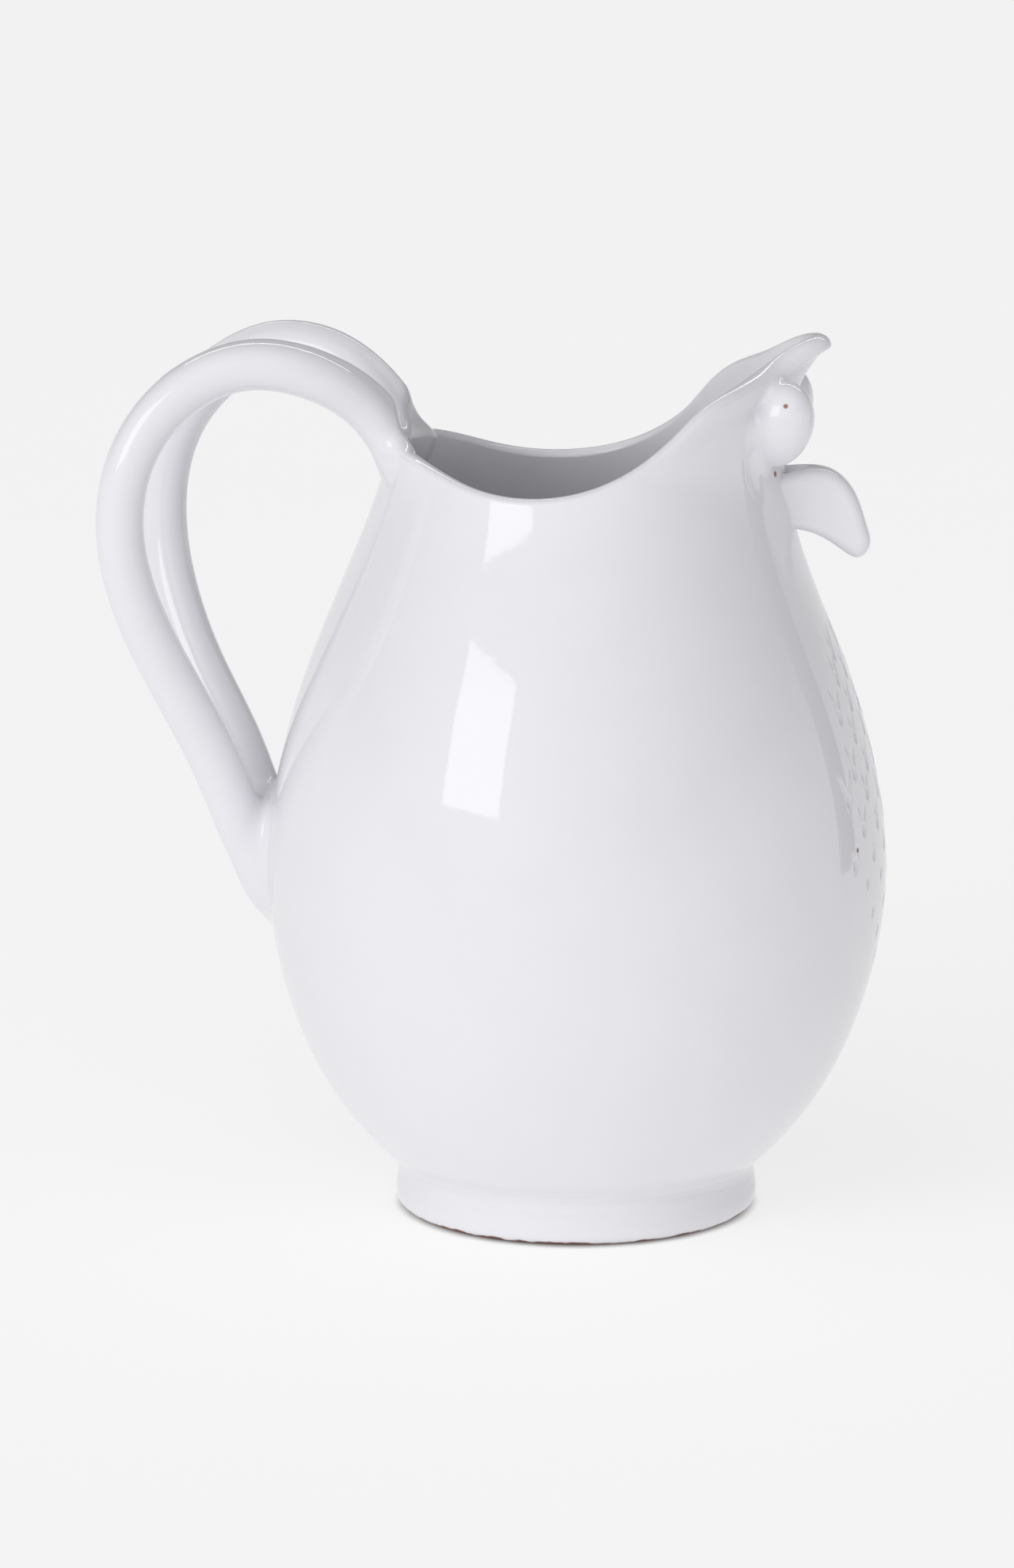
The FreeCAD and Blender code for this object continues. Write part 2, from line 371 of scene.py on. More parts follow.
def unevenness(angle, height):
    """The slow wander of a hand-thrown wall."""
    turn = np.radians(angle)
    return (
        0.14 * np.sin(2.0 * turn + height / 41.0)
        + 0.10 * np.sin(3.0 * turn - height / 24.0 + 1.0)
        + 0.06 * np.sin(5.0 * turn + height / 17.0 + 2.0)
    )


def eye_trough(angle, height):
    """The soft valley that sets each eye off from the neck behind it."""
    side = np.abs(angle)
    middle = 10.5 + 13.0 * smooth_step((236.0 - height) / 18.0)
    across = (side - middle) * 1.05
    along = smooth_step((height - 206.0) / 10.0) * smooth_step((240.0 - height) / 5.0)
    return -0.9 * along * np.exp(-(across / 2.6) ** 2)


def outer_radius(angle, height):
    """Outer radius with the lip's bead, the valleys and the wander of the wall."""
    below = rim_height(angle) - height
    weight = lip_weight(angle)
    aside = smooth_step(np.abs(angle) / LIP_SIDE_ANGLE)
    bead_reach = LIP_BEAD_REACH + aside
    bead = LIP_BULGE * np.exp(-((below - bead_reach) / bead_reach) ** 2)
    groove_below = LIP_GROOVE_TIP + (LIP_GROOVE_SIDE - LIP_GROOVE_TIP) * aside
    strength = LIP_GROOVE_AT_TIP + (1.0 - LIP_GROOVE_AT_TIP) * aside
    dent = LIP_GROOVE * strength * np.exp(-((below - groove_below) / LIP_GROOVE_WIDTH) ** 2)
    swell = weight * (bead - dent)
    return plain_radius(angle, height) + swell + eye_trough(angle, height) + unevenness(angle, height)


def inner_radius(angle, height):
    """Inner radius of the wall, thicker at the lip."""
    below = rim_height(angle) - height
    thick = WALL + LIP_INNER_SWELL * lip_weight(angle) * np.exp(-(below / LIP_SWELL_REACH) ** 2)
    corner = np.clip(FLOOR_Z + CORNER_RADIUS - height, 0.0, CORNER_RADIUS)
    inset = CORNER_RADIUS - np.sqrt(CORNER_RADIUS ** 2 - corner ** 2)
    return plain_radius(angle, height) - thick - inset + INNER_WANDER * unevenness(-angle, height)


def cap_height(angle):
    """Height of the rounded cap on the rim."""
    return CAP_HEIGHT + CAP_LIP_EXTRA * lip_weight(angle)


def mark_centres():
    """Where the feather tips are pressed in: angle, height and how long the feather is."""
    centres = []
    for row in range(MARK_ROWS):
        height = MARK_TOP_Z - MARK_ROW_STEP * row
        offset = (height - MARK_MIDDLE_Z) / MARK_HALF_HEIGHT
        half_angle = MARK_HALF_ANGLE * math.sqrt(max(0.0, 1.0 - offset ** 2))
        reach = int(half_angle / MARK_COLUMN_STEP)
        for column in range(-reach, reach + 1):
            if (column + row) % 2 == 0:
                wander = math.sin(12.9898 * column + 78.233 * row)
                length = MARK_LENGTH * smooth_step((height - MARK_FADE_Z) / MARK_FADE_RANGE)
                centres.append((
                    column * MARK_COLUMN_STEP + 0.5 * wander,
                    height + 0.9 * math.cos(37.7 * wander),
                    float(length),
                ))
    return centres


MARKS = mark_centres()


def groove(u, v, start, end, width, depth):
    """A groove of Gaussian section between two points of the surface, deepest at its start."""
    du, dv = end[0] - start[0], end[1] - start[1]
    share = np.clip(((u - start[0]) * du + (v - start[1]) * dv) / (du * du + dv * dv), 0.0, 1.0)
    away = (u - start[0] - share * du) ** 2 + (v - start[1] - share * dv) ** 2
    return -depth * (1.0 - 0.75 * share) * np.exp(-away / width ** 2)


def mark_depth(angle, height):
    """Displacement of the wall by the feather marks, in millimetres."""
    total = np.zeros(np.shape(angle))
    for centre, middle, length in MARKS:
        near = (np.abs(angle - centre) < 7.0) & (np.abs(height - middle - 3.0) < 12.0)
        if not near.any():
            continue
        radius = plain_radius(centre, middle)
        u = np.radians(angle[near] - centre) * radius
        v = height[near] - middle
        lean = 1.0 if centre < 0.0 else -1.0
        nick = groove(u, v, (0.55 * lean, 1.1), (-0.5 * lean, -1.0), MARK_WIDTH, NICK_DEPTH)
        if length > 1.0:
            for side in (-1.0, 1.0):
                tip = (side * (0.42 * length), length)
                nick = nick + groove(u, v, (0.0, 0.3), tip, MARK_WIDTH, RIB_DEPTH)
            nick = nick + PAD_HEIGHT * np.exp(-(u ** 2 + (v - 2.2) ** 2) / PAD_SPREAD)
        total[near] += nick
    return total


# ---------------------------------------------------------------- meshes

def glaze_piece(name, points, faces, normals, node, material):
    """A mesh object in metres that stands for one CAD node."""
    mesh = bpy.data.meshes.new(name)
    mesh.from_pydata((np.asarray(points) * MM).tolist(), [], faces)
    mesh.validate()
    tidy = bmesh.new()
    tidy.from_mesh(mesh)
    bmesh.ops.recalc_face_normals(tidy, faces=tidy.faces)
    tidy.to_mesh(mesh)
    tidy.free()
    mesh.polygons.foreach_set("use_smooth", [True] * len(mesh.polygons))
    if normals is not None:
        mesh.normals_split_custom_set_from_vertices(np.asarray(normals).tolist())
    mesh.materials.append(material)
    piece = bpy.data.objects.new(name, mesh)
    bpy.context.scene.collection.objects.link(piece)
    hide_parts(node)
    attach(piece, "root")


def wall_angles():
    """Angles of the wall's mesh columns, closer together over the face and breast."""
    front = np.arange(-FRONT_ZONE, FRONT_ZONE + 0.01, FRONT_COLUMN_STEP)
    rest = 360.0 - (front[-1] - front[0])
    count = int(round(rest / BACK_COLUMN_STEP))
    back = front[-1] + rest * np.arange(1, count) / count
    angles = np.concatenate([front, back])
    return (angles + 180.0) % 360.0 - 180.0


def wall_rows(angles):
    """Rows of (radius, height) arrays from under the base, up the outside, over the rim
    and down the inside, with the row numbers that bound the lip block."""
    rim = rim_height(angles)
    cap = cap_height(angles)
    front = smooth_step((SPOUT_END_ANGLE - np.abs(angles)) / BLOCK_FADE_ANGLE)
    block = BLOCK_DEPTH + BLOCK_FRONT_EXTRA * front
    rows = []
    for radius in (1.5, 16.0, 30.0, 42.0):
        rows.append((np.full_like(angles, radius), np.full_like(angles, BASE_Z)))
    rows.append((np.full_like(angles, 45.0), np.full_like(angles, 7.2)))
    for share in np.linspace(0.0, 1.0, OUTSIDE_ROWS):
        height = HIDDEN_BASE_Z + (rim - block - HIDDEN_BASE_Z) * share
        rows.append((outer_radius(angles, height), height))
    block_start = len(rows) - 1
    for share in np.linspace(0.0, 1.0, BLOCK_ROWS)[1:]:
        height = rim - block + (block - cap) * share
        rows.append((outer_radius(angles, height), height))
    top = rim - cap
    outer = outer_radius(angles, top)
    inner = inner_radius(angles, top)
    for turn in np.linspace(0.0, math.pi, CAP_ROWS)[1:]:
        middle = 0.5 * (outer + inner)
        half = 0.5 * (outer - inner)
        rows.append((middle + half * math.cos(turn), top + cap * math.sin(turn)))
    for share in np.linspace(0.0, 1.0, BLOCK_INSIDE_ROWS)[1:]:
        height = top - (block - cap) * share
        rows.append((inner_radius(angles, height), height))
    block_end = len(rows) - 1
    corner_top = FLOOR_Z + CORNER_RADIUS
    for share in np.linspace(0.0, 1.0, INSIDE_ROWS)[1:]:
        height = rim - block + (corner_top - rim + block) * share
        rows.append((inner_radius(angles, height), height))
    for turn in np.linspace(0.0, 0.5 * math.pi, CORNER_ROWS)[1:-1]:
        height = np.full_like(angles, corner_top - CORNER_RADIUS * math.sin(turn))
        rows.append((inner_radius(angles, height), height))
    floor_edge = rows[-1][0]
    for share in (0.97, 0.8, 0.6, 0.4, 0.2, 0.05):
        dome = 0.5 * (1.0 - share ** 2)
        rows.append((floor_edge * share, np.full_like(angles, FLOOR_Z + dome)))
    return rows, block_start, block_end


def wall_pieces(material):
    """The vessel body and the spout, cut from one continuous skin so no seam shows."""
    angles = wall_angles()
    turn = np.radians(angles)
    rows, block_start, block_end = wall_rows(angles)
    columns = len(angles)
    grid = []
    for radius, height in rows:
        grid.append(np.stack([radius * np.cos(turn), radius * np.sin(turn), height], axis=1))
    points = np.concatenate(grid)
    bottom_pole = len(points)
    points = np.vstack([points, [0.0, 0.0, BASE_Z], [0.0, 0.0, FLOOR_Z + 0.5]])

    def at(row, column):
        return row * columns + column % columns

    lip_columns = [c for c in range(columns) if abs(angles[c]) < SPOUT_END_ANGLE]
    lip_columns.sort(key=lambda c: angles[c])
    lip_faces = set(lip_columns[:-1])
    skin = bmesh.new()
    verts = [skin.verts.new(point) for point in points]
    for row in range(len(rows) - 1):
        in_block = block_start <= row < block_end
        for column in range(columns):
            corners = [
                at(row, column), at(row, column + 1),
                at(row + 1, column + 1), at(row + 1, column),
            ]
            face = skin.faces.new([verts[i] for i in corners])
            face.material_index = 1 if in_block and column in lip_faces else 0
    last = len(rows) - 1
    for column in range(columns):
        skin.faces.new([verts[bottom_pole], verts[at(0, column + 1)], verts[at(0, column)]])
        skin.faces.new([verts[bottom_pole + 1], verts[at(last, column)], verts[at(last, column + 1)]])
    skin.verts.index_update()
    press_marks(skin)
    skin.normal_update()
    skin.verts.index_update()
    all_points = np.array([vert.co for vert in skin.verts])
    all_normals = np.array([vert.normal for vert in skin.verts])
    body_part = []
    lip_part = []
    for face in skin.faces:
        part = lip_part if face.material_index == 1 else body_part
        part.append([vert.index for vert in face.verts])
    skin.free()
    closing = []
    for first, second in zip(lip_columns, lip_columns[1:]):
        closing.append([
            at(block_start, first), at(block_start, second),
            at(block_end, second), at(block_end, first),
        ])
    for end in (lip_columns[0], lip_columns[-1]):
        closing.append([at(row, end) for row in range(block_start, block_end + 1)])
    for name, part in (("vessel_body", body_part), ("spout", lip_part)):
        used = sorted({i for face in part + closing for i in face})
        number = {old: new for new, old in enumerate(used)}
        faces = [[number[i] for i in face] for face in part + closing]
        glaze_piece("glazed_" + name, all_points[used], faces, all_normals[used], name, material)


def press_marks(skin):
    """Finer faces over the breast, with the feather marks pressed in."""
    def in_patch(point, spare):
        angle = math.degrees(math.atan2(point.y, point.x))
        middle = plain_radius(angle, np.float64(point.z)) - 0.5 * WALL
        outside = math.hypot(point.x, point.y) > middle
        level = PATCH_LOW_Z - spare < point.z < PATCH_HIGH_Z + spare
        return outside and level and abs(angle) < PATCH_HALF_ANGLE + spare

    patch = [face for face in skin.faces if in_patch(face.calc_center_median(), 0.0)]
    edges = list({edge for face in patch for edge in face.edges})
    bmesh.ops.subdivide_edges(skin, edges=edges, cuts=3, use_grid_fill=True)
    moved = [vert for vert in skin.verts if in_patch(vert.co, 1.0)]
    points = np.array([vert.co for vert in moved])
    angle = np.degrees(np.arctan2(points[:, 1], points[:, 0]))
    height = points[:, 2]
    radius = outer_radius(angle, height) + mark_depth(angle, height)
    turn = np.radians(angle)
    for vert, x, y in zip(moved, radius * np.cos(turn), radius * np.sin(turn)):
        vert.co.x = x
        vert.co.y = y


def foot_piece(material):
    """The turned ring the pitcher stands on."""
    curve = spline(lengths_along(FOOT_OUTLINE), FOOT_OUTLINE)
    along = np.linspace(0.0, lengths_along(FOOT_OUTLINE)[-1], FOOT_ROWS)
    outline = curve(along)
    outline[:, 1] = np.maximum(outline[:, 1], 0.0)
    points = []
    for radius, height in outline:
        for column in range(FOOT_COLUMNS):
            turn = 2.0 * math.pi * column / FOOT_COLUMNS
            wander = 0.12 * math.sin(2.0 * turn + 0.6) + 0.05 * math.sin(5.0 * turn)
            reach = radius + wander
            points.append((reach * math.cos(turn), reach * math.sin(turn), height))
    faces = []
    rows = len(outline)
    for row in range(rows):
        above = (row + 1) % rows
        for column in range(FOOT_COLUMNS):
            after = (column + 1) % FOOT_COLUMNS
            faces.append([
                row * FOOT_COLUMNS + column, row * FOOT_COLUMNS + after,
                above * FOOT_COLUMNS + after, above * FOOT_COLUMNS + column,
            ])
    glaze_piece("glazed_foot_ring", points, faces, None, "foot_ring", material)


# ---------------------------------------------------------------- pressed-on clay

class Lattice:
    """A box of evenly spaced sample points, in millimetres."""

    def __init__(self, low, high, step):
        self.step = step
        self.first = np.floor(np.array(low) / step).astype(int)
        last = np.ceil(np.array(high) / step).astype(int)
        self.shape = tuple(last - self.first + 1)
        axes = [self.first[i] * step + step * np.arange(self.shape[i]) for i in range(3)]
        self.x = axes[0][:, None, None].astype(np.float32)
        self.y = axes[1][None, :, None].astype(np.float32)
        self.z = axes[2][None, None, :].astype(np.float32)

    def window(self, point, reach):
        """Slices of the samples within reach of a point."""
        slices = []
        for i in range(3):
            start = int((point[i] - reach) / self.step) - self.first[i]
            stop = int((point[i] + reach) / self.step) + 2 - self.first[i]
            slices.append(slice(max(0, start), min(self.shape[i], max(0, stop))))
        return tuple(slices)

    def sample(self, values, points):
        """Trilinear values of a field at points."""
        place = np.asarray(points) / self.step - self.first
        base = np.clip(np.floor(place).astype(int), 0, np.array(self.shape) - 2)
        part = place - base
        total = 0.0
        for corner in range(8):
            bits = np.array([corner & 1, corner >> 1 & 1, corner >> 2])
            weight = np.prod(np.where(bits, part, 1.0 - part), axis=1)
            index = base + bits
            total = total + weight * values[index[:, 0], index[:, 1], index[:, 2]]
        return total


def wall_field(lattice):
    """Signed distance to the body's wall, roughly; its zero is the wall's own surface."""
    angle = np.degrees(np.arctan2(lattice.y, lattice.x))
    radius = np.hypot(lattice.x, lattice.y)
    cap = cap_height(angle)
    top = rim_height(angle) - cap
    height = np.minimum(lattice.z, top).astype(np.float32)
    angle = np.broadcast_to(angle, height.shape)
    outer = outer_radius(angle, height)
    inner = inner_radius(angle, height)
    slope = outer_radius(angle, height - 1.0) - outer
    half = 0.5 * (outer - inner)
    above = np.maximum(lattice.z - top, 0.0) * half / cap
    field = np.hypot(radius - 0.5 * (outer + inner), above) - half
    return (field / np.sqrt(1.0 + slope ** 2)).astype(np.float32)


def depth_limit(lattice):
    """How far each sample lies below a skin just under the body's outside; pressed-on clay
    stops there, inside the wall, and never reaches the hollow."""
    angle = np.degrees(np.arctan2(lattice.y, lattice.x))
    height = np.broadcast_to(lattice.z, lattice.shape)
    skin = plain_radius(np.broadcast_to(angle, lattice.shape), height) - LUMP_DEPTH
    return (skin - np.hypot(lattice.x, lattice.y)).astype(np.float32)


def coil_field(lattice, centre_line, radius_along):
    """Signed distance to a round coil whose radius varies along its centre line."""
    places = lengths_along(centre_line)
    curve = spline(places, centre_line)
    nearest = np.full(lattice.shape, COIL_REACH ** 2, np.float32)
    where = np.zeros(lattice.shape, np.float32)
    for place in np.arange(0.0, places[-1] + 1.0, COIL_SEARCH_STEP):
        point = curve(np.array([place]))[0]
        window = lattice.window(point, COIL_REACH)
        away = (
            (lattice.x[window[0]] - point[0]) ** 2
            + (lattice.y[:, window[1]] - point[1]) ** 2
            + (lattice.z[:, :, window[2]] - point[2]) ** 2
        )
        closer = away < nearest[window]
        nearest[window] = np.where(closer, away, nearest[window])
        where[window] = np.where(closer, place, where[window])
    band = nearest < COIL_REACH ** 2 - 1.0
    i, j, k = np.nonzero(band)
    points = np.stack([lattice.x[i, 0, 0], lattice.y[0, j, 0], lattice.z[0, 0, k]], axis=1)
    place = where[band].astype(float)
    for _ in range(COIL_SEARCH_ROUNDS):
        offset = points - curve(place)
        along = curve(place, 1)
        bend = curve(place, 2)
        slope = -(offset * along).sum(axis=1)
        rate = (along * along).sum(axis=1) - (offset * bend).sum(axis=1)
        place = np.clip(place - slope / np.maximum(rate, 0.2), 0.0, places[-1])
    offset = points - curve(place)
    field = np.full(lattice.shape, COIL_REACH, np.float32)
    field[band] = np.linalg.norm(offset, axis=1) - radius_along(place / places[-1])
    return field


def turned(lattice, centre, turn, tilt):
    """Sample points in the axes of a lump that is tilted about Y, then turned about Z."""
    x = lattice.x - centre[0]
    y = lattice.y - centre[1]
    z = lattice.z - centre[2]
    turn = math.radians(turn)
    tilt = math.radians(tilt)
    ahead = x * math.cos(turn) + y * math.sin(turn)
    aside = -x * math.sin(turn) + y * math.cos(turn)
    return ahead * math.cos(tilt) - z * math.sin(tilt), aside, ahead * math.sin(tilt) + z * math.cos(tilt)


def egg_field(lattice, centre, half_sizes, turn=0.0, tilt=0.0):
    """Signed distance to an egg-like lump, roughly."""
    x, y, z = turned(lattice, centre, turn, tilt)
    a, b, c = half_sizes
    near = np.sqrt((x / a) ** 2 + (y / b) ** 2 + (z / c) ** 2)
    steep = np.sqrt((x / a ** 2) ** 2 + (y / b ** 2) ** 2 + (z / c ** 2) ** 2)
    return (near * (near - 1.0) / np.maximum(steep, 0.001)).astype(np.float32)


def outline_field(lattice, outline):
    """Signed distance in the XZ plane to a closed smooth outline."""
    loop = np.array(outline + outline[:1], float)
    places = lengths_along(loop)
    line = spline(places, loop)(np.linspace(0.0, places[-1], 160))
    x = lattice.x[:, 0, 0][:, None].astype(float)
    z = lattice.z[0, 0][None, :].astype(float)
    nearest = np.full((len(x), z.shape[1]), 1e9)
    inside = np.zeros(nearest.shape, bool)
    for (x0, z0), (x1, z1) in zip(line, line[1:]):
        dx, dz = x1 - x0, z1 - z0
        share = np.clip(((x - x0) * dx + (z - z0) * dz) / (dx * dx + dz * dz), 0.0, 1.0)
        nearest = np.minimum(nearest, (x - x0 - share * dx) ** 2 + (z - z0 - share * dz) ** 2)
        if z0 != z1:
            crosses = (z0 > z) != (z1 > z)
            inside ^= crosses & (x < x0 + (z - z0) * dx / dz)
    return (np.where(inside, -1.0, 1.0) * np.sqrt(nearest)).astype(np.float32)[:, None, :]


def beak_field(lattice):
    """Signed distance to the hooked flap: a smooth outline with a dished near face and a
    valley along its back."""
    outline = outline_field(lattice, BEAK_OUTLINE)
    share = np.clip((lattice.x - BEAK_ROOT_X) / (BEAK_TIP_X - BEAK_ROOT_X), 0.0, 1.0)
    half = BEAK_TIP_HALF + (BEAK_ROOT_HALF - BEAK_TIP_HALF) * (1.0 - share) ** 2
    upper = smooth_step((lattice.z - 201.0) / 9.0) * (1.0 - smooth_step(share * 2.0))
    half = half + BEAK_TOP_THICKENING * upper
    middle_line = BEAK_MIDDLE_Z - BEAK_DROOP * share ** 2
    across = np.exp(-((lattice.z - middle_line) / 6.0) ** 2)
    dish = BEAK_DISH * across * smooth_step(share * 2.5) * (1.0 - share)
    thick = np.abs(lattice.y) - half + dish
    valley = BEAK_VALLEY * np.exp(-((lattice.y + 0.6) / 2.8) ** 2) * (1.0 - smooth_step(share * 1.5))
    drop = BEAK_NEAR_DROP * np.maximum(-lattice.y, 0.0) * (1.0 - smooth_step(share * 1.2))
    high = smooth_step((lattice.z - 205.0) / 6.0)
    side = outline + (valley + drop) * high
    u = np.maximum(side + BEAK_ROUNDING, 0.0)
    v = np.maximum(thick + BEAK_ROUNDING, 0.0)
    inside = np.minimum(np.maximum(side, thick) + BEAK_ROUNDING, 0.0)
    return (inside + np.hypot(u, v) - BEAK_ROUNDING).astype(np.float32)


def soft_union(first, second, blend):
    """The nearer of two fields, rounded over where they meet."""
    share = np.maximum(blend - np.abs(first - second), 0.0) / blend
    return np.minimum(first, second) - 0.25 * blend * share ** 2


def soft_limit(field, limit, blend):
    """The part of a field inside a limit, with a rounded edge."""
    return -soft_union(-field, -limit, blend)


def lump_piece(name, lattice, joined, own, others, body, node, material):
    """One pressed-on piece: the joined skin of all the clay, kept near its own lump and
    ended just under the surfaces that it runs into."""
    neighbours = others[0]
    for other in others[1:]:
        neighbours = np.minimum(neighbours, other)
    tuck = LUMP_TUCK * smooth_step((own - neighbours) / LUMP_OVERLAP + 0.5)
    field = np.maximum(joined + tuck, own - neighbours - LUMP_OVERLAP)
    field = np.maximum(field, own - LUMP_REACH)
    field = np.maximum(field, -(body + BODY_OVERLAP))
    field = np.clip(field, -FIELD_WIDTH, FIELD_WIDTH).astype(np.float32)
    grid = openvdb.FloatGrid(FIELD_WIDTH)
    grid.transform = openvdb.createLinearTransform(voxelSize=lattice.step)
    grid.copyFromArray(field, ijk=tuple(int(i) for i in lattice.first))
    points, quads = grid.convertToQuads(isovalue=0.0)
    slopes = []
    for axis in range(3):
        shift = np.zeros(3)
        shift[axis] = lattice.step
        slopes.append(lattice.sample(joined, points + shift) - lattice.sample(joined, points - shift))
    normals = np.stack(slopes, axis=1)
    normals /= np.maximum(np.linalg.norm(normals, axis=1), 1e-6)[:, None]
    faces = quads[:, ::-1].tolist()
    glaze_piece(name, points, faces, normals, node, material)


def handle_pieces(material):
    """Both coils and the tail they are pressed into."""
    lattice = Lattice((-136.0, -44.0, 68.0), (-38.0, 44.0, 256.0), COIL_LATTICE)
    body = wall_field(lattice)

    def coil_radius(share):
        slim = COIL_ROOT_SLIMMING * smooth_step(1.0 - share / 0.2)
        taper = COIL_END_TAPER * smooth_step((share - 0.86) / 0.14)
        return COIL_RADIUS - slim + 0.25 * np.sin(9.0 * share + 1.0) - taper

    def ridge_radius(share):
        return RIDGE_RADIUS * (1.0 - 0.7 * share)

    limit = depth_limit(lattice)

    def ridged_coil(centre_line, ridge_line):
        coil = coil_field(lattice, centre_line, coil_radius)
        ridge = coil_field(lattice, ridge_line, ridge_radius)
        return soft_limit(soft_union(coil, ridge, RIDGE_BLEND), limit, COIL_BLEND)

    near = ridged_coil(NEAR_COIL, RIDGE)
    far = ridged_coil(FAR_COIL, [(x, -y, z) for x, y, z in RIDGE])
    tail = egg_field(lattice, TAIL_CENTRE, TAIL_HALF_SIZES)
    clay = soft_union(soft_union(near, far, COIL_BLEND), tail, TAIL_BLEND)
    root_blend = np.where(lattice.z > LOW_BLEND_BELOW_Z, ROOT_BLEND, LOW_BLEND)
    joined = soft_union(clay, body + SKIN_LIFT, root_blend)
    for name, own, others, node in (
        ("glazed_near_coil", near, [far, tail], "right_handle_strand"),
        ("glazed_far_coil", far, [near, tail], "left_handle_strand"),
        ("glazed_tail", tail, [near, far], "handle_tail"),
    ):
        lump_piece(name, lattice, joined, own, others, body, node, material)


def face_pieces(material):
    """Both eyes and the beak."""
    lattice = Lattice((38.0, -36.0, 184.0), (92.0, 36.0, 248.0), FACE_LATTICE)
    body = wall_field(lattice)
    limit = depth_limit(lattice)
    near = egg_field(lattice, EYE_CENTRE, EYE_HALF_SIZES, EYE_TURN, EYE_TILT)
    far_centre = (EYE_CENTRE[0] - FAR_EYE_BACK, -EYE_CENTRE[1], EYE_CENTRE[2] + FAR_EYE_UP)
    far_sizes = [FAR_EYE_SHRINK * size for size in EYE_HALF_SIZES]
    far = egg_field(lattice, far_centre, far_sizes, -EYE_TURN, EYE_TILT)
    near = np.maximum(near, limit)
    far = np.maximum(far, limit)
    beak = np.maximum(beak_field(lattice), limit)
    eyes = soft_union(near, far, EYES_BLEND)
    behind = smooth_step((57.0 - lattice.x) / 9.0)
    below_rim = smooth_step((233.0 - lattice.z) / 8.0)
    eye_blend = EYE_BLEND + EYE_BLEND_BEHIND * behind * below_rim
    joined = soft_union(eyes, body + SKIN_LIFT, eye_blend)
    joined = soft_union(joined, beak, BEAK_BLEND)
    for name, own, others, node in (
        ("glazed_near_eye", near, [far, beak], "right_eye"),
        ("glazed_far_eye", far, [near, beak], "left_eye"),
        ("glazed_beak", beak, [near, far], "beak"),
    ):
        lump_piece(name, lattice, joined, own, others, body, node, material)


# ---------------------------------------------------------------- materials

def node_of(tree, kind, **inputs):
    """A shader node with some of its inputs set by name."""
    node = tree.nodes.new(kind)
    for name, value in inputs.items():
        node.inputs[name.replace("_", " ")].default_value = value
    return node


def pinhole_mask(tree, place):
    """1 inside each small gap in the glaze where the clay shows, 0 elsewhere."""
    mask = None
    for x, y, z, radius in PINHOLES:
        away = tree.nodes.new("ShaderNodeVectorMath")
        away.operation = "DISTANCE"
        away.inputs[1].default_value = (x * MM, y * MM, z * MM)
        tree.links.new(place.outputs["Object"], away.inputs[0])
        spot = tree.nodes.new("ShaderNodeMapRange")
        spot.inputs["From Min"].default_value = radius * MM
        spot.inputs["From Max"].default_value = 0.6 * radius * MM
        tree.links.new(away.outputs["Value"], spot.inputs["Value"])
        if mask is None:
            mask = spot.outputs["Result"]
        else:
            larger = tree.nodes.new("ShaderNodeMath")
            larger.operation = "MAXIMUM"
            tree.links.new(mask, larger.inputs[0])
            tree.links.new(spot.outputs["Result"], larger.inputs[1])
            mask = larger.outputs[0]
    return mask


